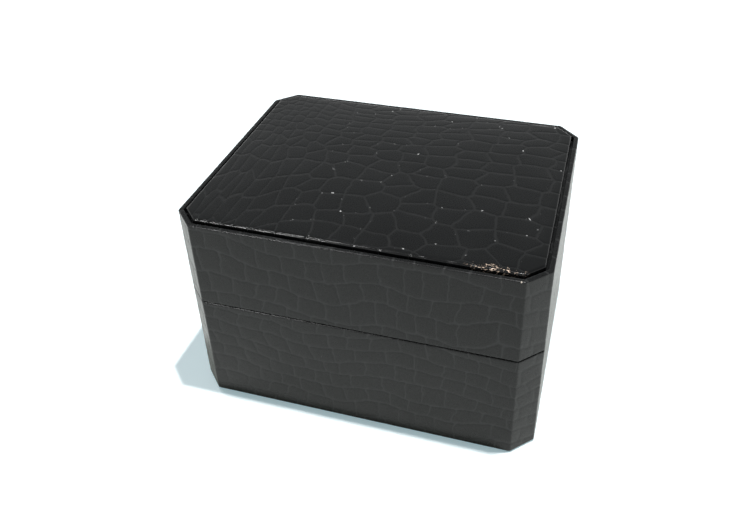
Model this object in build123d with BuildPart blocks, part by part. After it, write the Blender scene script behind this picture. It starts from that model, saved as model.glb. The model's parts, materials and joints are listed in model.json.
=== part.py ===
# A hinged presentation box for one wristwatch, made of greyboard covered in embossed leatherette.
# The plan is a rectangle with its four corners cut off. The lid turns on two steel hinges at the
# back, closes over a cloth-covered collar that stands up from the base, and carries a crowned pad
# inside a narrow rim. The base holds a foam insert with a well, and the watch cushion lifts out.
# Millimetres. The origin is the centre of the underside, +X is to the right, +Y to the back, +Z up.
from build123d import *
from math import sqrt
import os

# Outside of the closed box
box_width = 130.0
box_depth = 101.0
base_height = 45.2
lid_height = 33.9
seam_gap = 0.3
corner_cut = 7.7

# Sheet materials
wrap = 0.3
board = 1.2
card = 1.5
cloth = 0.5
bottom_sheet = 0.4

# Folds of the leatherette
turn_in = 9.0
turn_under = 9.0
upright_fold = 1.2
edge_fold = 0.4
sheet_margin = 2.0

# Collar that stands up out of the base
collar_proud = 6.0
collar_clearance = 0.35
collar_cloth_drop = 5.0
collar_headroom = 0.8

# Foam insert, its well and the watch cushion
deck_height = 40.0
well_length = 75.0
well_depth_y = 59.0
well_floor = 13.4
insert_clearance = 0.2
cushion_length = 72.6
cushion_depth = 56.6
cushion_height = 40.0
cushion_corner = 9.0
cushion_skin = 0.8
cushion_stages = ((0.0, 9.0), (0.14, 2.2), (0.5, 0.0), (0.86, 2.2), (1.0, 9.0))

# Crowned pad on top of the lid
pad_recess = 2.5
pad_groove = 0.95
pad_side = 2.1
pad_crown = 2.2
pad_shoulder = 3.4
pad_board = 1.0
crown_steps = ((0.0, 0.0), (0.10, 0.26), (0.45, 0.48), (1.0, 0.62), (2.6, 0.83), (5.6, 1.0))

# Padded satin panel under the lid's top
lining_gap = 0.1
satin = 0.4
satin_board = 1.0
satin_side = 2.0
satin_crown = 2.6

# Steel hinges
hinge_spacing = 62.0
hinge_width = 30.0
hinge_middle = 10.0
leaf_thickness = 0.5
leaf_height = 16.0
axis_standoff = 0.3
pin_radius = 0.6
pin_clearance = 0.05
knuckle_radius = 1.25
knuckle_clearance = 0.25
knuckle_side_gap = 0.15
pin_head_radius = 1.0
pin_head = 0.5
rivet_radius = 1.0
rivet_head_radius = 1.9
rivet_head = 0.25
rivet_clearance = 0.05
rivet_spacing = 18.0
rivet_height = 13.0

# Places worked out from the sizes above
rim = wrap + board + wrap
seam_top = base_height + seam_gap
lid_top = seam_top + lid_height
shell_floor = bottom_sheet + wrap
floor_top = shell_floor + board
liner_inset = rim + lining_gap
collar_cloth_inset = rim + collar_clearance
collar_card_inset = collar_cloth_inset + cloth
collar_inner_inset = collar_card_inset + card
collar_top = base_height + collar_proud
insert_inset = collar_inner_inset + cloth + insert_clearance
recess_floor = lid_top - pad_recess
top_board_top = recess_floor - wrap
top_board_bottom = top_board_top - board
pad_inset = rim + pad_groove
cushion_floor = well_floor + cloth
axis_y = box_depth / 2 + axis_standoff
axis_z = base_height + seam_gap / 2
pocket_radius = knuckle_radius + knuckle_clearance
leaf_y = box_depth / 2 - wrap - leaf_thickness / 2
hinge_places = {"left": -hinge_spacing / 2, "right": hinge_spacing / 2}

os.makedirs("parts", exist_ok=True)


def finish(made, name):
    """Names a finished piece and writes it to its own file."""
    made.part.label = name
    export_step(made.part, f"parts/{name}.step")


def leg_at(inset):
    """The cut corner's leg where the outline is moved inwards by inset."""
    return corner_cut - inset * (2 - sqrt(2))


def outline(inset, height, leg=None):
    """The box's cut-corner outline moved inwards by inset, as a sketch at a height."""
    cut = leg_at(inset) if leg is None else leg
    x = box_width / 2 - inset
    y = box_depth / 2 - inset
    with BuildSketch(Plane.XY.offset(height)) as shape:
        Polygon(
            (x - cut, y), (x, y - cut), (x, cut - y), (x - cut, -y),
            (cut - x, -y), (-x, cut - y), (-x, y - cut), (cut - x, y),
        )
        if inset < upright_fold:
            fillet(shape.vertices(), upright_fold - inset)
    return shape.sketch


def ring(outer_inset, inner_inset, low, high):
    """A wall that follows the outline between two insets, from low to high."""
    with BuildSketch(Plane.XY.offset(low)) as wall:
        add(outline(outer_inset, 0))
        add(outline(inner_inset, 0), mode=Mode.SUBTRACT)
    extrude(wall.sketch, amount=high - low)


def plate(inset, low, high, mode=Mode.ADD):
    """A flat cut-corner plate from low to high."""
    extrude(outline(inset, low), amount=high - low, dir=(0, 0, 1), mode=mode)


def crowned_plate(inset, low, side, crown, shoulder, up=1, mode=Mode.ADD):
    """A plate with straight sides and a crown that rises quickly at its edge and then gently."""
    plate(inset, low, low + up * side, mode=mode)
    levels = []
    for draw_in, rise in crown_steps:
        height = low + up * (side + crown * rise)
        levels.append(outline(inset + shoulder * draw_in, height, leg_at(inset) / (1 + draw_in / 2)))
    for below, above in zip(levels, levels[1:]):
        loft([below, above], ruled=True, mode=mode)


def hinge_pockets():
    """Round clearance for both hinges' knuckles, cut from a back wall."""
    with Locations(*[(x, axis_y, axis_z) for x in hinge_places.values()]):
        Cylinder(
            pocket_radius,
            hinge_width + 2 * pin_head + 2 * knuckle_clearance,
            rotation=(0, 90, 0),
            mode=Mode.SUBTRACT,
        )


def rivet_places(side):
    """The rivets' centres on a back wall: side is 1 on the lid and -1 on the base."""
    rows = []
    for x in hinge_places.values():
        for dx in (-rivet_spacing / 2, rivet_spacing / 2):
            rows.append((x + dx, box_depth / 2, axis_z + side * rivet_height))
    return rows


def leaf_recesses(side):
    """Shallow recesses for both leaves and the rivet holes, cut from a back wall's board."""
    with Locations(*[(x, leaf_y, axis_z + side * leaf_height / 2) for x in hinge_places.values()]):
        Box(hinge_width, leaf_thickness, leaf_height, mode=Mode.SUBTRACT)
    with Locations(*rivet_places(side)):
        Cylinder(rivet_radius + rivet_clearance, 4 * board, rotation=(90, 0, 0), mode=Mode.SUBTRACT)


# Base: leatherette over greyboard walls and a floor
with BuildPart() as base_wrap:
    ring(0, wrap, bottom_sheet, base_height)
    ring(0, turn_under, bottom_sheet, bottom_sheet + wrap)
    ring(0, rim, base_height - wrap, base_height)
    ring(wrap + board, rim, base_height - turn_in, base_height)
    skin = base_wrap.faces().sort_by(Axis.Z)
    fillet(skin[-1].outer_wire().edges(), edge_fold)
    fillet(skin[0].outer_wire().edges(), edge_fold)
    hinge_pockets()
finish(base_wrap, "base_wrap")

with BuildPart() as base_wall_board:
    ring(wrap, wrap + board, shell_floor, base_height - wrap)
    hinge_pockets()
    leaf_recesses(-1)
finish(base_wall_board, "base_wall_board")

with BuildPart() as base_floor_board:
    plate(wrap + board, shell_floor, floor_top)
finish(base_floor_board, "base_floor_board")

with BuildPart() as base_bottom_sheet:
    plate(sheet_margin, 0, bottom_sheet)
finish(base_bottom_sheet, "base_bottom_sheet")

# Collar: a card ring that stands out of the base and guides the lid
with BuildPart() as collar_card:
    ring(collar_card_inset, collar_inner_inset, floor_top, collar_top - cloth)
finish(collar_card, "collar_card")

with BuildPart() as collar_cloth:
    ring(collar_inner_inset, collar_inner_inset + cloth, floor_top, collar_top)
    ring(collar_cloth_inset, collar_inner_inset + cloth, collar_top - cloth, collar_top)
    ring(collar_cloth_inset, collar_card_inset, base_height - collar_cloth_drop, collar_top)
    fillet(collar_cloth.faces().sort_by(Axis.Z)[-1].outer_wire().edges(), cloth * 0.8)
finish(collar_cloth, "collar_cloth")

# Insert: a foam block with a well, under one skin of pile cloth
with BuildPart() as insert_foam:
    plate(insert_inset, floor_top, deck_height - cloth)
    with Locations((0, 0, deck_height)):
        Box(
            well_length + 2 * cloth,
            well_depth_y + 2 * cloth,
            deck_height - well_floor,
            align=(Align.CENTER, Align.CENTER, Align.MAX),
            mode=Mode.SUBTRACT,
        )
finish(insert_foam, "insert_foam")

with BuildPart() as insert_cloth:
    plate(insert_inset, deck_height - cloth, deck_height)
    with Locations((0, 0, deck_height)):
        Box(
            well_length + 2 * cloth,
            well_depth_y + 2 * cloth,
            deck_height - well_floor,
            align=(Align.CENTER, Align.CENTER, Align.MAX),
        )
        Box(
            well_length,
            well_depth_y,
            deck_height - cushion_floor,
            align=(Align.CENTER, Align.CENTER, Align.MAX),
            mode=Mode.SUBTRACT,
        )
finish(insert_cloth, "insert_cloth")


def cushion_block(skin_inset, mode=Mode.ADD):
    """The cushion's rounded, swelling form, moved inwards by skin_inset."""
    levels = []
    for share, draw_in in cushion_stages:
        height = skin_inset + share * (cushion_height - 2 * skin_inset)
        with BuildSketch(Plane.XY.offset(cushion_floor + height)) as level:
            RectangleRounded(
                cushion_length - draw_in - 2 * skin_inset,
                cushion_depth - draw_in - 2 * skin_inset,
                cushion_corner - skin_inset,
            )
        levels.append(level.sketch)
    loft(levels, mode=mode)


# Watch cushion: a swelling block of foam in a sewn cover
with BuildPart() as cushion_cover:
    cushion_block(0)
    cushion_block(cushion_skin, mode=Mode.SUBTRACT)
finish(cushion_cover, "cushion_cover")

with BuildPart() as cushion_foam:
    cushion_block(cushion_skin)
finish(cushion_foam, "cushion_foam")

# Lid: leatherette over greyboard walls, with a recess for the pad inside its rim
with BuildPart() as lid_wrap:
    ring(0, wrap, seam_top, lid_top)
    ring(0, rim, lid_top - wrap, lid_top)
    ring(wrap + board, rim, top_board_top, lid_top)
    ring(wrap + board, turn_in, top_board_top, recess_floor)
    ring(0, rim, seam_top, seam_top + wrap)
    ring(wrap + board, rim, seam_top, seam_top + turn_in)
    skin = lid_wrap.faces().sort_by(Axis.Z)
    fillet(skin[-1].outer_wire().edges(), edge_fold)
    fillet(skin[0].outer_wire().edges(), edge_fold)
    hinge_pockets()
finish(lid_wrap, "lid_wrap")

with BuildPart() as lid_wall_board:
    ring(wrap, wrap + board, seam_top + wrap, lid_top - wrap)
    hinge_pockets()
    leaf_recesses(1)
finish(lid_wall_board, "lid_wall_board")

with BuildPart() as lid_top_board:
    plate(wrap + board, top_board_bottom, top_board_top)
finish(lid_top_board, "lid_top_board")

# Crowned pad on the lid: board and foam inside a leatherette cover
with BuildPart() as pad_cover:
    crowned_plate(pad_inset, recess_floor, pad_side, pad_crown, pad_shoulder)
    crowned_plate(
        pad_inset + wrap, recess_floor, pad_side - wrap, pad_crown, pad_shoulder, mode=Mode.SUBTRACT
    )
    ring(pad_inset, pad_inset + turn_under, recess_floor, recess_floor + wrap)
finish(pad_cover, "pad_cover")

with BuildPart() as pad_stiffener:
    plate(pad_inset + wrap, recess_floor + wrap, recess_floor + wrap + pad_board)
finish(pad_stiffener, "pad_stiffener")

with BuildPart() as pad_foam:
    crowned_plate(pad_inset + wrap, recess_floor, pad_side - wrap, pad_crown, pad_shoulder)
    plate(0, recess_floor, recess_floor + wrap + pad_board, mode=Mode.SUBTRACT)
finish(pad_foam, "pad_foam")

# Lining of the lid: a card ring covered in cloth, and a padded satin panel
lining_bottom = collar_top + collar_headroom
with BuildPart() as lid_lining_card:
    ring(liner_inset, liner_inset + card, lining_bottom + cloth, top_board_bottom)
finish(lid_lining_card, "lid_lining_card")

with BuildPart() as lid_lining_cloth:
    inner = liner_inset + card
    ring(inner, inner + cloth, lining_bottom, top_board_bottom)
    ring(liner_inset, inner + cloth, lining_bottom, lining_bottom + cloth)
finish(lid_lining_cloth, "lid_lining_cloth")

satin_inset = liner_inset + card + cloth + lining_gap
with BuildPart() as satin_cover:
    crowned_plate(satin_inset, top_board_bottom, satin_side, satin_crown, pad_shoulder, up=-1)
    crowned_plate(
        satin_inset + satin, top_board_bottom, satin_side - satin, satin_crown, pad_shoulder,
        up=-1, mode=Mode.SUBTRACT,
    )
finish(satin_cover, "satin_cover")

with BuildPart() as satin_stiffener:
    plate(satin_inset + satin, top_board_bottom - satin_board, top_board_bottom)
finish(satin_stiffener, "satin_stiffener")

with BuildPart() as satin_foam:
    crowned_plate(
        satin_inset + satin, top_board_bottom, satin_side - satin, satin_crown, pad_shoulder, up=-1
    )
    plate(0, top_board_bottom - satin_board, top_board_bottom, mode=Mode.SUBTRACT)
finish(satin_foam, "satin_foam")


def knuckle_spans(side):
    """Where a leaf has its knuckles along the pin: the lid's in the middle, the base's outside."""
    if side > 0:
        return [(0, hinge_middle - 2 * knuckle_side_gap)]
    outer = (hinge_width - hinge_middle) / 2
    place = (hinge_width + hinge_middle) / 4
    return [(-place, outer), (place, outer)]


# Hinges: two leaves and a pin each
for place, hinge_x in hinge_places.items():
    for body, side in (("base", -1), ("lid", 1)):
        with BuildPart() as hinge_leaf:
            with Locations((hinge_x, leaf_y, axis_z + side * (pocket_radius + leaf_height) / 2)):
                Box(hinge_width, leaf_thickness, leaf_height - pocket_radius)
            for offset_x, length in knuckle_spans(side):
                with Locations((hinge_x + offset_x, leaf_y, axis_z + side * pocket_radius / 2)):
                    Box(length, leaf_thickness, pocket_radius)
                with Locations((hinge_x + offset_x, axis_y, axis_z)):
                    Cylinder(knuckle_radius, length, rotation=(0, 90, 0))
            with Locations((hinge_x, axis_y, axis_z)):
                Cylinder(
                    pin_radius + pin_clearance, 2 * hinge_width, rotation=(0, 90, 0), mode=Mode.SUBTRACT
                )
            with Locations(*rivet_places(side)):
                Cylinder(
                    rivet_radius + rivet_clearance, 4 * board, rotation=(90, 0, 0), mode=Mode.SUBTRACT
                )
        finish(hinge_leaf, f"hinge_{body}_leaf_{place}")
    with BuildPart() as hinge_pin:
        with Locations((hinge_x, axis_y, axis_z)):
            Cylinder(pin_radius, hinge_width + 2 * pin_head, rotation=(0, 90, 0))
        for end in (-1, 1):
            with Locations((hinge_x + end * (hinge_width + pin_head) / 2, axis_y, axis_z)):
                Cylinder(pin_head_radius, pin_head, rotation=(0, 90, 0))
    finish(hinge_pin, f"hinge_pin_{place}")

# Rivets that hold the leaves to the back walls
for body, side in (("base", -1), ("lid", 1)):
    with BuildPart() as rivets:
        for x, y, z in rivet_places(side):
            with Locations((x, y - wrap, z)):
                Cylinder(
                    rivet_radius,
                    board + rivet_head,
                    rotation=(90, 0, 0),
                    align=(Align.CENTER, Align.CENTER, Align.MIN),
                )
            with Locations((x, y - wrap - board, z)):
                Cylinder(
                    rivet_head_radius,
                    rivet_head,
                    rotation=(90, 0, 0),
                    align=(Align.CENTER, Align.CENTER, Align.MIN),
                )
    finish(rivets, f"{body}_hinge_rivets")
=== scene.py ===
# Looks of the watch box: embossed leatherette, velvet, satin, nickel and the studio round them.
# Values whose names end in _mm are millimetres. All meshes are in metres.
import json
from math import ceil, cos, exp, hypot, log, pi, radians, sin, sqrt

import bmesh
import bpy
from mathutils import Matrix, Vector, noise
from mathutils.bvhtree import BVHTree


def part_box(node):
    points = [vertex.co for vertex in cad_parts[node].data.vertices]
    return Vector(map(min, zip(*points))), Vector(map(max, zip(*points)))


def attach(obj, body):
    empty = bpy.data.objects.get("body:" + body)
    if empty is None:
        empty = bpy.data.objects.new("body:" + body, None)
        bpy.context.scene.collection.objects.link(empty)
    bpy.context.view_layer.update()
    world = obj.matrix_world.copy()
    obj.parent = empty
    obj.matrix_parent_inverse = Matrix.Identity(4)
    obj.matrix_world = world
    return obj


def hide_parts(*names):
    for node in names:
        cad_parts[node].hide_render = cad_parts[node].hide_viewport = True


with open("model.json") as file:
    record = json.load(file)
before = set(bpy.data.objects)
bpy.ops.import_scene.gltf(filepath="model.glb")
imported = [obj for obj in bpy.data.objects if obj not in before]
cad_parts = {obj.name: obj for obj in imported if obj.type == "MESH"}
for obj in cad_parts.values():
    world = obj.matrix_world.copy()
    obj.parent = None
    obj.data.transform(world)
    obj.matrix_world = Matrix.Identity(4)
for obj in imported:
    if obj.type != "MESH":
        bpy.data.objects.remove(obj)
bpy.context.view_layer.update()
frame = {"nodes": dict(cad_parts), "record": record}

mm = 0.001


def span_mm(node):
    """A node's lowest and highest corner in millimetres."""
    low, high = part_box(node)
    return low / mm, high / mm


# Sizes read from the frame
base_low, base_high = span_mm("base_wrap")
lid_low, lid_high = span_mm("lid_wrap")
half_width_mm = base_high.x
half_depth_mm = base_high.y
wrap_mm = half_width_mm - span_mm("base_wall_board")[1].x
rim_mm = half_width_mm - span_mm("base_floor_board")[1].x + wrap_mm
recess_floor_mm = span_mm("lid_top_board")[1].z + wrap_mm
joints = {joint["name"]: joint for joint in frame["record"]["behaviour"]["joints"]}
axis_y_mm = joints["lid_hinge"]["pos_m"][1] / mm
axis_z_mm = joints["lid_hinge"]["pos_m"][2] / mm
pins_mm = [span_mm("hinge_pin_left"), span_mm("hinge_pin_right")]
hinge_spans_mm = [(low.x, high.x) for low, high in pins_mm]
pad_low, pad_high = span_mm("pad_cover")
satin_low, satin_high = span_mm("satin_cover")
cushion_low, cushion_high = span_mm("cushion_cover")

# Folds of the wrap, as cut and glued
corner_cut_mm = 7.7
turn_in_mm = 9.0
turn_under_mm = 9.0
upright_fold_mm = 1.2
least_fold_mm = 0.12
edge_fold_mm = 0.45
lip_fold_mm = 0.35
recess_fold_mm = 0.15
pocket_radius_mm = 1.5
pocket_end_mm = 0.25
pocket_back_share = 0.9
flush_mm = 0.02

# Points of the wrap: their spacing, and how they lie round the hinges' pockets
grid_mm = 0.58
under_step_mm = 2.0
rim_step_mm = 0.45
turn_in_step_mm = 1.1
top_rim_step_mm = 0.4
recess_wall_step_mm = 0.5
recess_floor_step_mm = 1.5
upright_fold_steps = 5
past_pocket_mm = 2.0
pocket_pair_mm = 0.03
pocket_clear_mm = 0.3

# Padded panels: their upright sides, the radius of their folds and their hems
pad_side_mm = 3.3
pad_fold_mm = 0.75
pad_cell_mm = 0.42
satin_side_mm = 2.0
satin_fold_mm = 1.3
satin_cell_mm = 0.9
satin_hem_mm = 6.0
hem_lift_mm = 0.35
side_step_share = 0.45
roll_steps = 5
sharpest_mitre = 0.5
tolerance_mm = 0.001
crown_power = 2.6
crown_fullness = 0.7

# Emboss of the leatherette. Shares are of one scale.
scale_width_mm = 8.6
base_scale_height_mm = 6.4
lid_scale_height_mm = 8.0
crease_depth_mm = 0.08
crease_share = 0.085
dome_mm = 0.02
dome_share = 0.4
folded_weight = 0.45
pad_side_weight = 0.4
pad_side_top_mm = 1.5

# The pad's own scales: their size, and where and how gently they turn narrow or shallow
pad_scale_width_mm = 9.8
pad_scale_height_mm = 9.0
tall_left_growth_mm = 6.0
tall_left_mm = -38
tall_left_over_mm = 6
narrow_left = 0.96
narrow_left_mm = -40
narrow_left_over_mm = 6
narrow_right = 0.16
narrow_right_mm = 20
narrow_right_over_mm = 8
shallow_back = 1.36
shallow_back_mm = 14
shallow_back_over_mm = 8
shallow_left_mm = 2
shallow_left_over_mm = 16
shallow_right_share = 0.25
pattern_start_u = 31.3
pattern_start_v = 17.6

# Look of the leatherette
crease_line = 0.055
smooth_roughness = 0.21
grain_roughness = 0.14
crease_roughness = 0.12
fold_polish = 0.1

# Signs of use
worn_patch = (47.5 * mm, -46.8 * mm, 81 * mm)
worn_reach_x = 10.5 * mm
worn_reach_y = 1.8 * mm
bare_backing = (0.62, 0.48, 0.38, 1.0)
chip_place = (55.9 * mm, (0.12 - half_depth_mm) * mm, (lid_high.z - 0.12) * mm)
chip_color = (0.5, 0.44, 0.38, 1.0)


# Node trees


def add_node(tree, kind, settings=None, **inputs):
    """A new node with its settings, and its inputs fed by name."""
    node = tree.nodes.new(kind)
    for key, value in (settings or {}).items():
        setattr(node, key, value)
    for key, value in inputs.items():
        name = key.replace("_", " ").lower()
        feed(tree, next(s for s in node.inputs if s.enabled and s.name.lower() == name), value)
    return node


def feed(tree, socket, value):
    """Links another node's socket to this one, or sets this one's value."""
    if isinstance(value, bpy.types.NodeSocket):
        tree.links.new(value, socket)
    else:
        socket.default_value = value


def math_node(tree, operation, a, b=0.0, c=0.0):
    """One arithmetic step and its result."""
    node = tree.nodes.new("ShaderNodeMath")
    node.operation = operation
    for socket, value in zip(node.inputs, (a, b, c)):
        feed(tree, socket, value)
    return node.outputs[0]


def vector_math(tree, operation, a, b=(0, 0, 0), scale=1.0):
    """One vector step and its result."""
    node = tree.nodes.new("ShaderNodeVectorMath")
    node.operation = operation
    for socket, value in ((node.inputs[0], a), (node.inputs[1], b), (node.inputs[3], scale)):
        feed(tree, socket, value)
    return node.outputs[0]


def length_of(tree, vector):
    """A vector's length."""
    settings = {"operation": "LENGTH"}
    return add_node(tree, "ShaderNodeVectorMath", settings, Vector=vector).outputs["Value"]


def component(tree, vector, axis):
    """A vector's X, Y or Z."""
    return add_node(tree, "ShaderNodeSeparateXYZ", Vector=vector).outputs[axis]


def ramp(tree, value, low, high, to_low=0.0, to_high=1.0):
    """A value mapped smoothly from one range to another, held at its ends."""
    node = add_node(
        tree, "ShaderNodeMapRange", {"interpolation_type": "SMOOTHSTEP"},
        Value=value, From_Min=low, From_Max=high, To_Min=to_low, To_Max=to_high,
    )
    return node.outputs[0]


def noise_at(tree, vector, size, detail=2.0, rough=0.5, dimensions="3D"):
    """Noise with features of about the given size, as a value from 0 to 1 and as a colour."""
    node = add_node(
        tree, "ShaderNodeTexNoise", {"noise_dimensions": dimensions},
        Vector=vector, Scale=1.0 / size, Detail=detail, Roughness=rough,
    )
    return node.outputs[0], node.outputs[1]


def wandering(tree, place, *waves):
    """A place moved by noises, each with its size and its reach, all in scales."""
    moved = place
    for size, reach in waves:
        wave = noise_at(tree, place, size, 1.0, dimensions="2D")[1]
        moved = vector_math(tree, "ADD", moved, vector_math(tree, "MULTIPLY", wave, reach))
    return moved


def to_crease(tree, dimensions, uneven, **place):
    """How far a place lies from the nearest border of its cell."""
    settings = {"feature": "DISTANCE_TO_EDGE", "voronoi_dimensions": dimensions}
    cells = add_node(tree, "ShaderNodeTexVoronoi", settings, Scale=1.0, Randomness=uneven, **place)
    return cells.outputs["Distance"]


def round_scales(tree, place):
    """Rounded many-sided scales: how far a point lies from the nearest crease, in scales."""
    moved = wandering(tree, place, (2.3, (0.6, 0.6, 0.0)), (0.35, (0.09, 0.09, 0.0)))
    return to_crease(tree, "2D", 0.5, Vector=moved)


def row_scales(tree, place):
    """Rows of rounded blocks: how far a point lies from the nearest crease, in scales."""
    row_shift = 7.37
    rounding = 0.16
    moved = wandering(tree, place, (4.5, (1.2, 1.9, 0.0)), (0.5, (0.16, 0.16, 0.0)))
    along, up = component(tree, moved, "X"), component(tree, moved, "Y")
    share = math_node(tree, "FRACT", up)
    to_row = math_node(tree, "MINIMUM", share, math_node(tree, "SUBTRACT", 1.0, share))
    in_row = math_node(tree, "MULTIPLY_ADD", math_node(tree, "FLOOR", up), row_shift, along)
    return math_node(tree, "SMOOTH_MIN", to_row, to_crease(tree, "1D", 0.55, W=in_row), rounding)


# Materials


def new_material(name):
    """A material with its tree and its shader."""
    material = bpy.data.materials.new(name)
    material.use_nodes = True
    tree = material.node_tree
    return material, tree, tree.nodes["Principled BSDF"]


def place_of(tree, output="Object"):
    """The surface's own coordinates."""
    return add_node(tree, "ShaderNodeTexCoord").outputs[output]


def bump(tree, shader, height, distance):
    """Raises the shader's surface by a height map, distance in metres."""
    node = add_node(tree, "ShaderNodeBump", Height=height, Distance=distance, Strength=1.0)
    tree.links.new(node.outputs[0], shader.inputs["Normal"])


def mix_colors(tree, share, a, b):
    """A colour between two colours."""
    node = tree.nodes.new("ShaderNodeMix")
    node.data_type = "RGBA"
    for socket, value in ((node.inputs[0], share), (node.inputs[6], a), (node.inputs[7], b)):
        feed(tree, socket, value)
    return node.outputs[2]


def grey(value, warm=0.0):
    """An almost neutral colour, warmer or cooler by a share."""
    return (value * (1 + warm), value, value * (1 - warm), 1.0)


def leatherette(name, worn_with_painted_glints=False):
    """Black semi-gloss leatherette with paler creases, a fine grain, painted glints and signs of
    use.
    """
    material, tree, shader = new_material(name)
    place = place_of(tree)
    edge = (round_scales if worn_with_painted_glints else row_scales)(tree, place_of(tree, "UV"))
    grain = noise_at(tree, place, 0.42 * mm, 3.0)[0]
    cloud = noise_at(tree, place, 17 * mm, 2.0)[0]
    crease = ramp(tree, edge, crease_line, 0.0)
    deep_black, soft_black = grey(0.003, -0.05), grey(0.007, -0.04)
    crease_grey = grey(0.009 if worn_with_painted_glints else 0.019, -0.03)
    color = mix_colors(tree, cloud, deep_black, soft_black)
    color = mix_colors(tree, crease, color, crease_grey)
    rough = math_node(tree, "MULTIPLY_ADD", grain, grain_roughness, smooth_roughness)
    rough = math_node(tree, "MULTIPLY_ADD", crease, crease_roughness, rough)
    if worn_with_painted_glints:
        fold_top = (pad_low.z + pad_side_mm) * mm
        height = component(tree, place, "Z")
        polish = ramp(tree, height, fold_top + 0.25 * mm, fold_top, 0.0, fold_polish)
        rough = math_node(tree, "SUBTRACT", rough, polish)
        # Painted glints at a few creases, and wear at the front right corner.
        color = painted_glints_and_scuffs(tree, color, place, edge)
    else:
        color = rim_chip(tree, color, place)
    tree.links.new(color, shader.inputs["Base Color"])
    tree.links.new(rough, shader.inputs["Roughness"])
    shader.inputs["Specular IOR Level"].default_value = 0.28
    bump(tree, shader, grain, 0.012 * mm)
    return material


def painted_glints_and_scuffs(tree, color, place, edge):
    """Painted glints as pale specks at a few creases, and wear at the pad's front right corner."""
    # Painted highlights: pale glints near a few creases, right of the pad's left part.
    specks = ramp(tree, noise_at(tree, place, 1.7 * mm, 2.0, 0.6)[0], 0.70, 0.735)
    painted_glints = math_node(tree, "MULTIPLY", specks, ramp(tree, edge, 0.09, 0.02))
    right_part = ramp(tree, component(tree, place, "X"), -34 * mm, -18 * mm)
    painted_glints = math_node(tree, "MULTIPLY", painted_glints, right_part)
    color = mix_colors(tree, painted_glints, color, grey(0.4))
    from_patch = vector_math(tree, "SUBTRACT", place, worn_patch)
    squeezed = vector_math(tree, "MULTIPLY", from_patch, (1 / worn_reach_x, 1 / worn_reach_y, 0.0))
    near = ramp(tree, length_of(tree, squeezed), 1.1, 0.4)
    streaky = vector_math(tree, "MULTIPLY", place, (0.6, 1.0, 1.0))
    chips = ramp(tree, noise_at(tree, streaky, 0.62 * mm, 2.0, 0.6)[0], 0.575, 0.62)
    return mix_colors(tree, math_node(tree, "MULTIPLY", chips, near), color, bare_backing)


def rim_chip(tree, color, place):
    """A pale chip on the lid's rim beside its front right corner."""
    away = length_of(tree, vector_math(tree, "SUBTRACT", place, chip_place))
    ragged = noise_at(tree, place, 0.3 * mm, 2.0)[0]
    reach = math_node(tree, "MULTIPLY_ADD", ragged, 0.6 * mm, away)
    return mix_colors(tree, ramp(tree, reach, 0.64 * mm, 0.52 * mm), color, chip_color)


def velvet(name, tone=0.012):
    """Black pile cloth: deep, with a soft sheen and patches where the pile lies another way."""
    material, tree, shader = new_material(name)
    place = place_of(tree)
    nap = noise_at(tree, place, 14 * mm, 2.0)[0]
    pile = noise_at(tree, place, 0.35 * mm, 2.0)[0]
    color = mix_colors(tree, ramp(tree, nap, 0.3, 0.7), grey(tone), grey(tone * 1.6))
    tree.links.new(color, shader.inputs["Base Color"])
    tree.links.new(ramp(tree, pile, 0.2, 0.8, 0.8, 1.0), shader.inputs["Roughness"])
    shader.inputs["Sheen Weight"].default_value = 0.55
    shader.inputs["Sheen Roughness"].default_value = 0.35
    shader.inputs["Sheen Tint"].default_value = grey(0.8)
    shader.inputs["Specular IOR Level"].default_value = 0.1
    bump(tree, shader, pile, 0.22 * mm)
    return material


def satin(name):
    """Black satin with a fine weave and a long soft gloss."""
    material, tree, shader = new_material(name)
    place = place_of(tree)
    across = vector_math(tree, "MULTIPLY", place, (1.0, 0.12, 1.0))
    slub = noise_at(tree, across, 0.5 * mm, 3.0)[0]
    broad = noise_at(tree, place, 12 * mm, 1.0)[0]
    color = mix_colors(tree, slub, grey(0.018), grey(0.032))
    tree.links.new(color, shader.inputs["Base Color"])
    tree.links.new(ramp(tree, broad, 0.3, 0.7, 0.3, 0.4), shader.inputs["Roughness"])
    shader.inputs["Sheen Weight"].default_value = 0.3
    shader.inputs["Sheen Roughness"].default_value = 0.3
    bump(tree, shader, slub, 0.05 * mm)
    return material


def greyboard(name):
    """Recycled board: grey-brown with darker and paler fibres."""
    material, tree, shader = new_material(name)
    place = place_of(tree)
    drawn_out = vector_math(tree, "MULTIPLY", place, (1.0, 0.35, 1.0))
    fibres = noise_at(tree, drawn_out, 0.5 * mm, 4.0)[0]
    patches = noise_at(tree, place, 6 * mm, 2.0)[0]
    share = math_node(tree, "MULTIPLY_ADD", patches, 0.5, math_node(tree, "MULTIPLY", fibres, 0.5))
    color = mix_colors(tree, share, (0.20, 0.185, 0.16, 1), (0.46, 0.43, 0.39, 1))
    tree.links.new(color, shader.inputs["Base Color"])
    tree.links.new(ramp(tree, fibres, 0.2, 0.8, 0.85, 0.95), shader.inputs["Roughness"])
    bump(tree, shader, fibres, 0.08 * mm)
    return material


def black_paper(name):
    """Matte black paper with a faint fibre."""
    material, tree, shader = new_material(name)
    place = place_of(tree)
    fibres = noise_at(tree, place, 0.7 * mm, 4.0)[0]
    tree.links.new(mix_colors(tree, fibres, grey(0.018), grey(0.034)), shader.inputs["Base Color"])
    tree.links.new(ramp(tree, fibres, 0.2, 0.8, 0.7, 0.85), shader.inputs["Roughness"])
    bump(tree, shader, fibres, 0.05 * mm)
    return material


def foam(name):
    """Dark open-cell foam."""
    material, tree, shader = new_material(name)
    place = place_of(tree)
    cells = add_node(
        tree, "ShaderNodeTexVoronoi", {"feature": "F1"}, Vector=place, Scale=1 / (0.9 * mm)
    ).outputs["Distance"]
    # Painted shade: the pores are darker at their centres, where the bump sinks them.
    color = mix_colors(tree, cells, grey(0.03), grey(0.11))
    tree.links.new(color, shader.inputs["Base Color"])
    tree.links.new(ramp(tree, cells, 0.0, 0.8, 0.95, 0.85), shader.inputs["Roughness"])
    bump(tree, shader, cells, 0.3 * mm)
    return material


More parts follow.
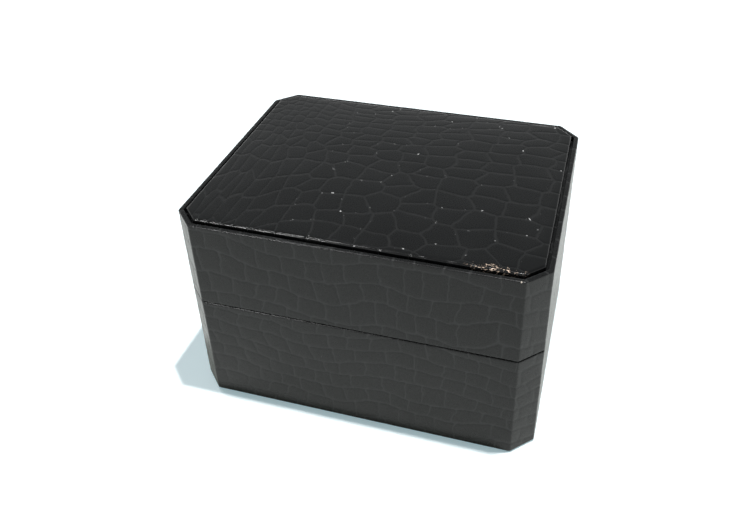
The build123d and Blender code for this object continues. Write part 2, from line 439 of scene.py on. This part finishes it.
def nickel(name):
    """Nickel-plated steel with fine draw marks along the barrel and faint handling marks."""
    material, tree, shader = new_material(name)
    place = place_of(tree)
    drawn_out = vector_math(tree, "MULTIPLY", place, (0.08, 1.0, 1.0))
    lines = noise_at(tree, drawn_out, 0.12 * mm, 2.0)[0]
    marks = noise_at(tree, place, 3 * mm, 3.0)[0]
    color = mix_colors(tree, marks, (0.60, 0.57, 0.52, 1), (0.74, 0.71, 0.66, 1))
    tree.links.new(color, shader.inputs["Base Color"])
    shader.inputs["Metallic"].default_value = 1.0
    rough = math_node(tree, "MULTIPLY_ADD", lines, 0.1, 0.14)
    rough = math_node(tree, "MULTIPLY_ADD", marks, 0.14, rough)
    tree.links.new(rough, shader.inputs["Roughness"])
    bump(tree, shader, lines, 0.01 * mm)
    return material


# The outline of the box, with its folded corners

corner_count = 8
corner_turn = radians(45)
back_flat = 7


def corner_points(inset):
    """The outline's eight corners, moved inwards, from the back left one round by the front."""
    x = half_width_mm - inset
    y = half_depth_mm - inset
    cut = corner_cut_mm - inset * (2 - sqrt(2))
    right = [(x - cut, -y), (x, cut - y), (x, y - cut), (x - cut, y)]
    return [(-px, py) for px, py in reversed(right)] + right


def fold_centre(index, inset, fold):
    """A corner's rounding: its centre and the angle at which it starts."""
    x, y = corner_points(inset)[index]
    start = radians(90) + index * corner_turn
    middle = start + corner_turn / 2
    back = fold / cos(corner_turn / 2)
    return x - back * cos(middle), y - back * sin(middle), start


def outline_point(station, inset, fold):
    """Where a station lies: a share of the way along the fold or the flat with that index."""
    kind, index, share = station
    if kind == "fold":
        x, y, start = fold_centre(index, inset, fold)
        angle = start + share * corner_turn
        return x + fold * cos(angle), y + fold * sin(angle)
    x0, y0 = outline_point(("fold", index, 1.0), inset, fold)
    x1, y1 = outline_point(("fold", (index + 1) % corner_count, 0.0), inset, fold)
    return x0 + share * (x1 - x0), y0 + share * (y1 - y0)


def stations(inset, fold, spacing, fold_steps, marks=()):
    """Stations round the outline. On the back flat they keep a close pair at each mark."""
    made = []
    for index in range(corner_count):
        made += [("fold", index, step / fold_steps) for step in range(fold_steps)]
        x0, y0 = outline_point(("flat", index, 0.0), inset, fold)
        x1, y1 = outline_point(("flat", index, 1.0), inset, fold)
        count = max(2, ceil(hypot(x1 - x0, y1 - y0) / spacing))
        shares = [step / count for step in range(count)]
        if index == back_flat:
            width = x1 - x0
            gaps = (-pocket_pair_mm, pocket_pair_mm)
            pairs = [(mark + gap - x0) / width for mark in marks for gap in gaps]
            clear = [all(abs(s - p) * abs(width) > pocket_clear_mm for p in pairs) for s in shares]
            shares = [share for share, kept in zip(shares, clear) if kept]
            shares = sorted(shares + pairs)
        made += [("flat", index, share) for share in shares]
    return made


def along_outline(marks, inset, fold):
    """How far round the outline each station lies, and the whole way round."""
    points = [outline_point(station, inset, fold) for station in marks]
    lengths = [0.0]
    for a, b in zip(points, points[1:] + points[:1]):
        lengths.append(lengths[-1] + hypot(b[0] - a[0], b[1] - a[1]))
    return lengths


# Sections of the wrap


def rounded_path(corners, steps=4):
    """Points along a path of (inset, height, fold radius, spacing to the next) corners."""
    made = []
    for before, here, after in zip([None] + corners[:-1], corners, corners[1:] + [None]):
        inset, height, radius, spacing = here
        if before is None or after is None or radius == 0:
            made.append((inset, height))
        else:
            made += arc_between(before, here, after, steps)
        if after is not None and spacing:
            end = arc_between(here, after, None, steps)[0] if after[2] else after[:2]
            made += divided(made[-1], end, spacing)
    return made


def arc_between(before, here, after, steps):
    """A right-angled fold's points, or only its first where the path after it isn't given."""
    x, z, radius = here[:3]
    inwards = unit(before[0] - x, before[1] - z)
    first = (x + inwards[0] * radius, z + inwards[1] * radius)
    if after is None:
        return [first]
    onwards = unit(after[0] - x, after[1] - z)
    centre = (first[0] + onwards[0] * radius, first[1] + onwards[1] * radius)
    turn = [pi / 2 * step / steps for step in range(steps + 1)]
    return [
        (
            centre[0] - onwards[0] * radius * cos(a) - inwards[0] * radius * sin(a),
            centre[1] - onwards[1] * radius * cos(a) - inwards[1] * radius * sin(a),
        )
        for a in turn
    ]


def unit(x, y):
    """A direction of length 1."""
    length = hypot(x, y)
    return x / length, y / length


def divided(start, end, spacing):
    """Points between two points, without the ends."""
    count = ceil(hypot(end[0] - start[0], end[1] - start[1]) / spacing)
    return [
        (start[0] + (end[0] - start[0]) * i / count, start[1] + (end[1] - start[1]) * i / count)
        for i in range(1, count)
    ]


def base_section():
    """The base's wrap in section, outside first and then back along the board."""
    low, high = base_low.z, base_high.z
    outside = [
        (turn_under_mm, low, 0, under_step_mm), (0, low, edge_fold_mm, grid_mm),
        (0, high, edge_fold_mm, rim_step_mm), (rim_mm, high, lip_fold_mm, turn_in_step_mm),
        (rim_mm, high - turn_in_mm, 0, 0),
    ]
    board_side = [
        (rim_mm - wrap_mm, high - turn_in_mm), (rim_mm - wrap_mm, high - wrap_mm),
        (wrap_mm, high - wrap_mm), (wrap_mm, high - past_pocket_mm), (wrap_mm, low + wrap_mm),
        (turn_under_mm, low + wrap_mm),
    ]
    return rounded_path(outside), board_side


def lid_section():
    """The lid's wrap in section, from the turn-in of its mouth over the outside to the recess."""
    low, high = lid_low.z, lid_high.z
    outside = [
        (rim_mm, low + turn_in_mm, 0, turn_in_step_mm), (rim_mm, low, lip_fold_mm, rim_step_mm),
        (0, low, edge_fold_mm, grid_mm), (0, high, edge_fold_mm, top_rim_step_mm),
        (rim_mm, high, lip_fold_mm, recess_wall_step_mm),
        (rim_mm, recess_floor_mm, recess_fold_mm, recess_floor_step_mm),
        (turn_under_mm, recess_floor_mm, 0, 0),
    ]
    inner = rim_mm - wrap_mm
    board_side = [
        (turn_under_mm, recess_floor_mm - wrap_mm), (inner, recess_floor_mm - wrap_mm),
        (inner, high - wrap_mm), (wrap_mm, high - wrap_mm), (wrap_mm, low + past_pocket_mm),
        (wrap_mm, low + wrap_mm), (inner, low + wrap_mm), (inner, low + turn_in_mm),
    ]
    return rounded_path(outside), board_side


def pocket_inset(x, y, inset, height, thickness):
    """Moves the back wall's skin inwards where a hinge's barrel lies in it."""
    in_span = any(a - pocket_end_mm < x < b + pocket_end_mm for a, b in hinge_spans_mm)
    drop = height - axis_z_mm
    if y < 0 or not in_span or abs(drop) >= pocket_radius_mm:
        return inset
    deep = sqrt(pocket_radius_mm ** 2 - drop ** 2) - (axis_y_mm - half_depth_mm) + thickness
    return max(inset, min(deep, rim_mm - wrap_mm + thickness * pocket_back_share))


def wrap_piece(name, section, scale_height, material):
    """A strip of leatherette folded round the walls, with its skin measured in scales."""
    outside, board_side = section
    path = outside + board_side
    edges = [a + side * pocket_end_mm for span in hinge_spans_mm for a, side in zip(span, (-1, 1))]
    marks = stations(0, upright_fold_mm, grid_mm, upright_fold_steps, edges)
    round_mm = along_outline(marks, 0, upright_fold_mm)
    climb = [0.0]
    for a, b in zip(path, path[1:]):
        climb.append(climb[-1] + hypot(b[0] - a[0], b[1] - a[1]))
    points, places = [], []
    for column, station in enumerate(marks):
        for row, (inset, height) in enumerate(path):
            x, y = outline_point(station, inset, max(upright_fold_mm - inset, least_fold_mm))
            hidden = row >= len(outside)
            if station[:2] == ("flat", back_flat):
                inset = pocket_inset(x, y, inset, height, wrap_mm if hidden else 0.0)
                x, y = outline_point(station, inset, max(upright_fold_mm - inset, least_fold_mm))
            points.append((x * mm, y * mm, height * mm))
            weight = 0.0 if hidden else skin_weight(inset)
            places.append((round_mm[column] / scale_width_mm, climb[row] / scale_height, weight))
    count = len(path)
    faces, corners = [], []
    for column in range(len(marks)):
        after = (column + 1) % len(marks)
        u0, u1 = round_mm[column] / scale_width_mm, round_mm[column + 1] / scale_width_mm
        for row in range(count):
            up = (row + 1) % count
            v0, v1 = climb[row] / scale_height, climb[up] / scale_height
            here, there = column * count, after * count
            faces.append((here + row, there + row, there + up, here + up))
            corners += [(u0, v0), (u1, v0), (u1, v1), (u0, v1)]
    return skin_mesh(name, points, faces, corners, places, material)


def skin_weight(inset):
    """How strongly the emboss shows: full on the walls, pressed flatter on folds and turn-ins."""
    return 1.0 if inset < flush_mm else folded_weight


def skin_mesh(name, points, faces, corners, places, material):
    """A mesh with its UV map and, on its points, the place and weight that the emboss reads."""
    mesh = bpy.data.meshes.new(name)
    mesh.from_pydata(points, [], faces)
    layer = mesh.uv_layers.new(name="UVMap")
    layer.data.foreach_set("uv", [value for corner in corners for value in corner])
    hide = mesh.attributes.new("hide", "FLOAT_VECTOR", "POINT")
    hide.data.foreach_set("vector", [value for place in places for value in place])
    mesh.materials.append(material)
    obj = bpy.data.objects.new(name, mesh)
    bpy.context.collection.objects.link(obj)
    recalculate(mesh)
    mesh.shade_smooth()
    return obj


def recalculate(mesh):
    """Turns all faces outwards."""
    work = bmesh.new()
    work.from_mesh(mesh)
    bmesh.ops.recalc_face_normals(work, faces=work.faces)
    work.to_mesh(mesh)
    work.free()


# The emboss, pressed into a skin by Geometry Nodes


def emboss_tree(name, pattern):
    """Moves a skin's points along their normals by the scales' height, as a press would."""
    tree = bpy.data.node_groups.new(name, "GeometryNodeTree")
    face = tree.interface
    face.new_socket("Geometry", in_out="INPUT", socket_type="NodeSocketGeometry")
    for label, value in (("Crease Depth", crease_depth_mm * mm), ("Dome", dome_mm * mm)):
        socket = face.new_socket(label, in_out="INPUT", socket_type="NodeSocketFloat")
        socket.default_value = value
    face.new_socket("Finish", in_out="INPUT", socket_type="NodeSocketMaterial")
    face.new_socket("Geometry", in_out="OUTPUT", socket_type="NodeSocketGeometry")
    given = add_node(tree, "NodeGroupInput")
    hide = add_node(
        tree, "GeometryNodeInputNamedAttribute", {"data_type": "FLOAT_VECTOR"}, Name="hide"
    ).outputs[0]
    edge = pattern(tree, vector_math(tree, "MULTIPLY", hide, (1, 1, 0)))
    crease = ramp(tree, edge, 0.0, crease_share, -1.0, 0.0)
    dome = ramp(tree, edge, 0.0, dome_share, -1.0, 0.0)
    height = math_node(tree, "MULTIPLY", crease, given.outputs["Crease Depth"])
    height = math_node(tree, "MULTIPLY_ADD", dome, given.outputs["Dome"], height)
    height = math_node(tree, "MULTIPLY", height, component(tree, hide, "Z"))
    normal = add_node(tree, "GeometryNodeInputNormal").outputs[0]
    offset = vector_math(tree, "SCALE", normal, scale=height)
    skin = given.outputs["Geometry"]
    moved = add_node(tree, "GeometryNodeSetPosition", Geometry=skin, Offset=offset)
    real = add_node(tree, "GeometryNodeRealizeInstances", Geometry=moved.outputs[0])
    dressed = add_node(
        tree, "GeometryNodeSetMaterial", Geometry=real.outputs[0], Material=given.outputs["Finish"]
    )
    add_node(tree, "NodeGroupOutput", Geometry=dressed.outputs[0])
    return tree


def run_tree(obj, tree, **values):
    """Applies a node tree to a piece, so that a plain mesh is left."""
    modifier = obj.modifiers.new(tree.name, "NODES")
    modifier.node_group = tree
    for item in tree.interface.items_tree:
        key = item.name.replace(" ", "_").lower()
        if item.in_out == "INPUT" and key in values:
            modifier[item.identifier] = values[key]
    apply_modifiers(obj)
    obj.data.shade_smooth()


# Padded panels: the pad on the lid and the satin panel inside it


def padded_panel(name, edge_inset, base_z, side, crown, fold, cell, up, hem, place_on, material):
    """A crowned panel with the box's outline, a rolled edge, sides and a turned-under hem."""
    inner = edge_inset + fold
    x_half, y_half = half_width_mm - inner, half_depth_mm - inner
    columns, rows = round(2 * x_half / cell), round(2 * y_half / cell)
    cut = round((corner_cut_mm - inner * (2 - sqrt(2))) / cell)

    def crown_at(x, y):
        across = 1 - abs(x / (half_width_mm - edge_inset)) ** crown_power
        along = 1 - abs(y / (half_depth_mm - edge_inset)) ** crown_power
        return crown * max(across * along, 0.0) ** crown_fullness

    points, index = [], {}

    def point(i, j):
        if (i, j) not in index:
            x, y = x_half * (2 * i / columns - 1), y_half * (2 * j / rows - 1)
            index[i, j] = len(points)
            points.append((x, y, side + crown_at(x, y)))
        return index[i, j]

    faces = []
    for i in range(columns):
        for j in range(rows):
            a, b = min(i, columns - 1 - i), min(j, rows - 1 - j)
            if a + b < cut - 1:
                continue
            quad = [(i, j), (i + 1, j), (i + 1, j + 1), (i, j + 1)]
            if a + b == cut - 1:
                x_end, y_end = (0 if 2 * i < columns else columns), (0 if 2 * j < rows else rows)
                quad.remove(min(quad, key=lambda c: abs(c[0] - x_end) + abs(c[1] - y_end)))
            faces.append(tuple(point(*corner) for corner in quad))
    loop = (
        [(i, 0) for i in range(cut, columns - cut)]
        + [(columns - cut + k, k) for k in range(cut)]
        + [(columns, j) for j in range(cut, rows - cut)]
        + [(columns - k, rows - cut + k) for k in range(cut)]
        + [(i, rows) for i in range(columns - cut, cut, -1)]
        + [(cut - k, rows - k) for k in range(cut)]
        + [(0, j) for j in range(rows - cut, cut, -1)]
        + [(k, cut - k) for k in range(cut)]
    )
    ring = [index[corner] for corner in loop]
    outwards = loop_normals([points[i] for i in ring])
    turns = [pi / 2 * k / roll_steps for k in range(1, roll_steps + 1)]
    profile = [(fold * sin(a), -fold * (1 - cos(a))) for a in turns]
    profile += [(fold, z - side) for z in (side * side_step_share, hem_lift_mm)]
    profile += [(fold - hem_lift_mm, -side), (fold - hem, -side)]
    start = [points[i] for i in ring]
    for out, drop in profile:
        new_ring = []
        for (x, y, z), (nx, ny) in zip(start, outwards):
            height = z + drop if drop > -fold + tolerance_mm else max(0.0, side + drop)
            height = min(height, z)
            new_ring.append(len(points))
            points.append((x + nx * out, y + ny * out, height))
        for k in range(len(ring)):
            n = (k + 1) % len(ring)
            faces.append((ring[k], new_ring[k], new_ring[n], ring[n]))
        ring = new_ring
    faces.append(tuple(ring))
    places = [place_on(x, y, z) for x, y, z in points]
    corners = [places[i][:2] for face in faces for i in face]
    real = [(x * mm, y * mm, (base_z + up * z) * mm) for x, y, z in points]
    return skin_mesh(name, real, faces, corners, places, material)


def loop_normals(loop):
    """Outward directions at a closed loop's points, lengthened at its corners like a mitre."""
    made = []
    for k, here in enumerate(loop):
        before, after = loop[k - 1], loop[(k + 1) % len(loop)]
        ax, ay = unit(here[1] - before[1], before[0] - here[0])
        bx, by = unit(after[1] - here[1], here[0] - after[0])
        x, y = unit(ax + bx, ay + by)
        mitre = max(x * ax + y * ay, sharpest_mitre)
        made.append((x / mitre, y / mitre))
    return made


def pad_place(x, y, z):
    """The pad's place in scales: narrow ones at the left, shallow ones at the back left."""
    left = 1 / (1 + exp((x - tall_left_mm) / tall_left_over_mm))
    back_left = 1 / (1 + exp((x - shallow_left_mm) / shallow_left_over_mm))
    narrowing = narrow_left * soft_plus((narrow_left_mm - x) / narrow_left_over_mm)
    narrowing += narrow_right * soft_plus((x - narrow_right_mm) / narrow_right_over_mm)
    shallowing = shallow_back * soft_plus((y - shallow_back_mm) / shallow_back_over_mm)
    shallowing *= shallow_right_share + (1 - shallow_right_share) * back_left
    u = x / pad_scale_width_mm - narrowing
    v = y / (pad_scale_height_mm + tall_left_growth_mm * left) + shallowing
    weight = 1.0 if z > pad_side_top_mm else pad_side_weight
    return u + pattern_start_u, v + pattern_start_v, weight


def soft_plus(value):
    """A smooth ramp that is 0 far below and rises like the value above."""
    far = 30
    return value if value > far else (0.0 if value < -far else log(1 + exp(value)))


def satin_place(x, y, z):
    """A plain place in the weave, at any height, with no weight: the satin panel has no scales."""
    thread_run_mm = 10
    return x / thread_run_mm, y / thread_run_mm, 0.0


def pucker(obj, edge_inset, depth, spacing, reach):
    """Small gathers round a panel's edge, where its cloth is pulled over the card."""
    side_row, front_row = 3.0, 9.0
    calm_edge_mm = 1.5
    for vertex in obj.data.vertices:
        x, y = vertex.co.x / mm, vertex.co.y / mm
        to_side = half_width_mm - edge_inset - abs(x)
        to_front = half_depth_mm - edge_inset - abs(y)
        distance = max(min(to_side, to_front), 0.0)
        along, row = (y, side_row) if to_side < to_front else (x, front_row)
        wave = noise.noise(Vector((along / spacing, row, 0)))
        fade = min(distance / calm_edge_mm, 1.0)
        vertex.co.z += depth * wave * exp(-distance / reach) * fade * mm


# The watch cushion, inflated by a short cloth simulation


def rounded_block(name, low, high, draw_in, corner):
    """A block whose sides swell in the middle and whose edges are rounded, closed all round."""
    centre, half = (low + high) / 2, (high - low) / 2
    cuts = 23
    bpy.ops.mesh.primitive_cube_add(size=2)
    obj = bpy.context.object
    obj.name = name
    work = bmesh.new()
    work.from_mesh(obj.data)
    bmesh.ops.subdivide_edges(work, edges=work.edges, cuts=cuts, use_grid_fill=True)
    for vertex in work.verts:
        p = vertex.co.copy()
        core = Vector([half[i] - corner[i] for i in range(3)])
        place = Vector([p[i] * half[i] for i in range(3)])
        kept = Vector([max(-core[i], min(core[i], place[i])) for i in range(3)])
        beyond = Vector([(place[i] - kept[i]) / corner[i] for i in range(3)])
        if beyond.length > 1e-6:
            beyond = beyond.normalized() * max(abs(c) for c in beyond)
        place = kept + Vector([beyond[i] * corner[i] for i in range(3)])
        rise = abs(place.z) / half.z
        squeeze = 1 - draw_in * rise ** 3
        vertex.co = (centre + Vector((place.x * squeeze, place.y * squeeze, place.z))) * mm
    work.to_mesh(obj.data)
    work.free()
    return obj


cloth_frames = 20


def inflate(obj, voxel, pressure, cap):
    """Remeshes a block, swells it as cloth under pressure, and caps how far a point may move."""
    remesh = obj.modifiers.new("even", "REMESH")
    remesh.mode = "VOXEL"
    remesh.voxel_size = voxel
    apply_modifiers(obj)
    start = [vertex.co.copy() for vertex in obj.data.vertices]
    cloth = obj.modifiers.new("swell", "CLOTH")
    cloth.settings.use_pressure = True
    cloth.settings.uniform_pressure_force = pressure
    cloth.settings.effector_weights.gravity = 0
    for step in range(1, cloth_frames + 1):
        bpy.context.scene.frame_set(step)
    apply_modifiers(obj)
    bpy.context.scene.frame_set(1)
    for vertex, before in zip(obj.data.vertices, start):
        way = vertex.co - before
        if way.length > cap:
            vertex.co = before + way * (cap / way.length)
    smooth = obj.modifiers.new("finer", "SUBSURF")
    smooth.levels = smooth.render_levels = 1
    apply_modifiers(obj)
    obj.data.shade_smooth()


def apply_modifiers(obj):
    """Leaves a plain mesh that has its modifiers' result."""
    made = bpy.data.meshes.new_from_object(obj.evaluated_get(bpy.context.evaluated_depsgraph_get()))
    obj.modifiers.clear()
    obj.data = made


def keep_inside(obj, low, high, margin):
    """Presses a soft piece's points back between the walls that hold it."""
    for vertex in obj.data.vertices:
        for i in range(3):
            vertex.co[i] = max(low[i] * mm + margin, min(high[i] * mm - margin, vertex.co[i]))


def groove(obj, centre, offsets, width, depth):
    """Draws a soft piece in along seams that run round it at the given offsets in X."""
    for vertex in obj.data.vertices:
        near = min(abs(vertex.co.x - x) for x in offsets)
        pull = depth * exp(-((near / width) ** 2))
        way = Vector((0, vertex.co.y - centre.y, vertex.co.z - centre.z))
        if way.length > 1e-6:
            vertex.co -= way.normalized() * pull


def piping(name, obj, centre, offset, radius, material):
    """A sewn cord that lies in a seam, found on the soft piece by rays from its middle."""
    faces = [polygon.vertices for polygon in obj.data.polygons]
    tree = BVHTree.FromPolygons([vertex.co for vertex in obj.data.vertices], faces)
    steps, sides = 160, 10
    sunk_share = 0.1
    path = []
    for step in range(steps):
        angle = 2 * pi * step / steps
        way = Vector((0, cos(angle), sin(angle)))
        hit = tree.ray_cast(Vector((offset, centre.y, centre.z)), way)[0]
        path.append(hit - way * radius * sunk_share)
    points, faces = [], []
    for step, here in enumerate(path):
        along = (path[(step + 1) % steps] - path[step - 1]).normalized()
        across = Vector((1, 0, 0))
        out = along.cross(across).normalized()
        for side in range(sides):
            a = 2 * pi * side / sides
            points.append(here + (across * cos(a) + out * sin(a)) * radius)
    for step in range(steps):
        after = (step + 1) % steps
        for side in range(sides):
            up = (side + 1) % sides
            here, there = step * sides, after * sides
            faces.append((here + side, there + side, there + up, here + up))
    return plain_mesh(name, points, faces, material)


def plain_mesh(name, points, faces, material):
    """A smooth mesh with its faces outwards."""
    mesh = bpy.data.meshes.new(name)
    mesh.from_pydata(points, [], faces)
    mesh.materials.append(material)
    recalculate(mesh)
    mesh.shade_smooth()
    obj = bpy.data.objects.new(name, mesh)
    bpy.context.collection.objects.link(obj)
    return obj


def softened(node, name, width, material):
    """A copy of a CAD piece with its sharp edges rounded."""
    mesh = frame["nodes"][node].data.copy()
    obj = bpy.data.objects.new(name, mesh)
    bpy.context.collection.objects.link(obj)
    work = bmesh.new()
    work.from_mesh(mesh)
    bmesh.ops.remove_doubles(work, verts=work.verts, dist=1e-6)
    bmesh.ops.dissolve_limit(work, angle_limit=radians(1), verts=work.verts, edges=work.edges)
    work.to_mesh(mesh)
    work.free()
    bevel = obj.modifiers.new("soft", "BEVEL")
    bevel.width = width
    bevel.segments = 3
    bevel.limit_method = "ANGLE"
    bevel.angle_limit = radians(40)
    apply_modifiers(obj)
    obj.data.materials.clear()
    obj.data.materials.append(material)
    obj.data.shade_smooth()
    obj.data.set_sharp_from_angle(angle=radians(50))
    return obj


def place_piece(obj, body, slot, *nodes):
    """Puts a piece on its body, in place of its CAD nodes. The slot is not used."""
    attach(obj, body)
    if nodes:
        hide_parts(*nodes)


# Finishes

wall_finish = leatherette("leatherette_walls")
pad_finish = leatherette("leatherette_pad", worn_with_painted_glints=True)
velvet_finish = velvet("pile_cloth")
cushion_finish = velvet("cushion_velour", 0.016)
satin_finish = satin("lid_satin")
board_finish = greyboard("greyboard")
paper_finish = black_paper("bottom_paper")
foam_finish = foam("foam")
nickel_finish = nickel("hinge_nickel")
slot_finishes = {
    "leatherette": wall_finish, "greyboard": board_finish, "pile_cloth": velvet_finish,
    "cushion_cloth": cushion_finish, "satin": satin_finish, "foam": foam_finish,
    "bottom_paper": paper_finish, "hinge_steel": nickel_finish,
}
for part in frame["record"]["subparts"]:
    carried = frame["nodes"][part["node"]]
    carried.data.materials.clear()
    carried.data.materials.append(slot_finishes[part["material_slot"]])

# Leatherette round the walls
press = emboss_tree("press_rows", row_scales)
base_wrap = wrap_piece("base_leatherette", base_section(), base_scale_height_mm, wall_finish)
run_tree(base_wrap, press, finish=wall_finish)
place_piece(base_wrap, "base", "leatherette", "base_wrap")
lid_wrap = wrap_piece("lid_leatherette", lid_section(), lid_scale_height_mm, wall_finish)
run_tree(lid_wrap, press, finish=wall_finish)
place_piece(lid_wrap, "lid", "leatherette", "lid_wrap")

# The pad on the lid
pad_inset_mm = half_width_mm - pad_high.x
pad = padded_panel(
    "pad_leatherette", pad_inset_mm, base_z=pad_low.z, side=pad_side_mm,
    crown=pad_high.z - pad_low.z - pad_side_mm, fold=pad_fold_mm, cell=pad_cell_mm, up=1,
    hem=turn_under_mm, place_on=pad_place, material=pad_finish,
)
run_tree(pad, emboss_tree("press_pad", round_scales), finish=pad_finish)
place_piece(pad, "lid", "leatherette", "pad_cover", "pad_foam")

# The satin panel under the lid's top
satin_inset_mm = half_width_mm - satin_high.x
satin_panel = padded_panel(
    "satin_panel", satin_inset_mm, base_z=satin_high.z, side=satin_side_mm,
    crown=satin_high.z - satin_low.z - satin_side_mm, fold=satin_fold_mm, cell=satin_cell_mm, up=-1,
    hem=satin_hem_mm, place_on=satin_place, material=satin_finish,
)
pucker(satin_panel, satin_inset_mm, depth=0.7, spacing=2.6, reach=7.0)
place_piece(satin_panel, "lid", "satin", "satin_cover", "satin_foam")

# The watch cushion and its piping
cushion_centre = (cushion_low + cushion_high) / 2 * mm
cushion_seam = 0.76 * cushion_high.x * mm
swell_room_mm = Vector((1.6, 1.6, 1.2))
cushion = rounded_block(
    "watch_cushion", cushion_low + swell_room_mm, cushion_high - swell_room_mm,
    draw_in=0.07, corner=Vector((9, 12, 12)),
)
inflate(cushion, voxel=3.2 * mm, pressure=4.0, cap=3.0 * mm)
keep_inside(cushion, cushion_low, cushion_high, margin=0.3 * mm)
seams = (-cushion_seam, cushion_seam)
groove(cushion, cushion_centre, seams, width=2.2 * mm, depth=0.9 * mm)
cushion.data.materials.clear()
cushion.data.materials.append(cushion_finish)
place_piece(cushion, "cushion", "cushion_cloth", "cushion_cover", "cushion_foam")
for side, offset in zip(("left", "right"), seams):
    cord = piping(
        f"cushion_piping_{side}", cushion, cushion_centre, offset, 0.75 * mm, cushion_finish
    )
    place_piece(cord, "cushion", "cushion_cloth")

# Cloth over the insert
deck = softened("insert_cloth", "insert_velvet", 0.4 * mm, velvet_finish)
place_piece(deck, "base", "pile_cloth", "insert_cloth")

# Floor, light and camera


def stage_floor():
    """A pale table that is white to the camera and to gloss, and keeps the box's shadow near it."""
    material, tree, shader = new_material("table")
    shader.inputs["Base Color"].default_value = (0.78, 0.80, 0.80, 1)
    shader.inputs["Roughness"].default_value = 0.9
    shader.inputs["Specular IOR Level"].default_value = 0.0
    rays = add_node(tree, "ShaderNodeLightPath")
    # The table glows for camera, gloss and transmission rays. Near the box a cool glow for the
    # camera paints a tint into the box's shadow, and a fainter glow shows in gloss; further off it
    # glows white.
    near_gloss, near_camera, white = (0.11, 0.13, 0.10, 1), (0.18, 0.27, 0.30, 1), (1, 1, 1, 1)
    near = mix_colors(tree, rays.outputs["Is Camera Ray"], near_gloss, near_camera)
    far = ramp(tree, length_of(tree, place_of(tree)), 0.15, 0.6)
    tree.links.new(mix_colors(tree, far, near, white), shader.inputs["Emission Color"])
    seen = math_node(
        tree, "MAXIMUM", rays.outputs["Is Camera Ray"], rays.outputs["Is Glossy Ray"]
    )
    seen = math_node(tree, "MAXIMUM", seen, rays.outputs["Is Transmission Ray"])
    tree.links.new(seen, shader.inputs["Emission Strength"])
    half = 3.0
    mesh = bpy.data.meshes.new("table")
    points = [(-half, -half, 0), (half, -half, 0), (half, half, 0), (-half, half, 0)]
    mesh.from_pydata(points, [], [(0, 1, 2, 3)])
    mesh.materials.append(material)
    floor = bpy.data.objects.new("table", mesh)
    bpy.context.collection.objects.link(floor)


def studio_world():
    """White near the horizon, softer and cooler above it, and dark overhead."""
    world = bpy.data.worlds.new("studio")
    bpy.context.scene.world = world
    world.use_nodes = True
    tree = world.node_tree
    back = tree.nodes["Background"]
    rise = component(tree, place_of(tree, "Generated"), "Z")
    horizon, above, overhead = (1.0, 1.0, 1.0, 1), (0.30, 0.32, 0.32, 1), (0.09, 0.10, 0.10, 1)
    dome = mix_colors(tree, ramp(tree, rise, -0.1, 0.64), horizon, above)
    dome = mix_colors(tree, ramp(tree, rise, 0.68, 0.92), dome, overhead)
    tree.links.new(dome, back.inputs["Color"])
    back.inputs["Strength"].default_value = 1.0


def area_light(name, place, target, size, power, gloss_only=False):
    """A white disk of light turned to a target. One for gloss only shows just in reflections."""
    lamp = bpy.data.lights.new(name, "AREA")
    lamp.shape = "DISK"
    lamp.size = size
    lamp.energy = power
    obj = bpy.data.objects.new(name, lamp)
    bpy.context.collection.objects.link(obj)
    obj.visible_diffuse = not gloss_only
    obj.location = place
    obj.rotation_euler = (Vector(target) - Vector(place)).to_track_quat("-Z", "Y").to_euler()


def photo_camera():
    """The camera that the photograph's corners give, for a picture 750 pixels wide."""
    picture_width = 750
    focal_pixels = 784.6
    across_pixels, down_pixels = 18.1, -71.4
    turn, tilt, roll = 0.2908, 0.5796, -0.0191
    place_in_widths = Vector((0.5489, -1.8172, 1.8154))
    forward = Vector((-sin(turn) * cos(tilt), cos(turn) * cos(tilt), -sin(tilt)))
    right = Vector((cos(turn), sin(turn), 0))
    up = right.cross(forward)
    rolled_right = right * cos(roll) + up * sin(roll)
    rolled_up = up * cos(roll) - right * sin(roll)
    lens = bpy.data.cameras.new("camera")
    lens.sensor_width = 36
    lens.lens = focal_pixels / picture_width * lens.sensor_width
    lens.shift_x = -across_pixels / picture_width
    lens.shift_y = down_pixels / picture_width
    camera = bpy.data.objects.new("camera", lens)
    bpy.context.collection.objects.link(camera)
    turned = Matrix((rolled_right, rolled_up, -forward)).transposed().to_4x4()
    place = place_in_widths * 2 * half_width_mm * mm
    camera.matrix_world = Matrix.Translation(place) @ turned
    bpy.context.scene.camera = camera


stage_floor()
studio_world()
area_light("key", place=(0.136, -0.019, 1.1), target=(0, 0, 0), size=0.028, power=12)
area_light("side", place=(-0.35, 0.15, 1.05), target=(0, 0, 0), size=0.15, power=3)
area_light(
    "front_left", place=(-0.441, -0.746, 0.672), target=(0, 0, 0.05), size=0.1, power=6,
    gloss_only=True,
)
photo_camera()
bpy.context.scene.view_settings.view_transform = "Standard"
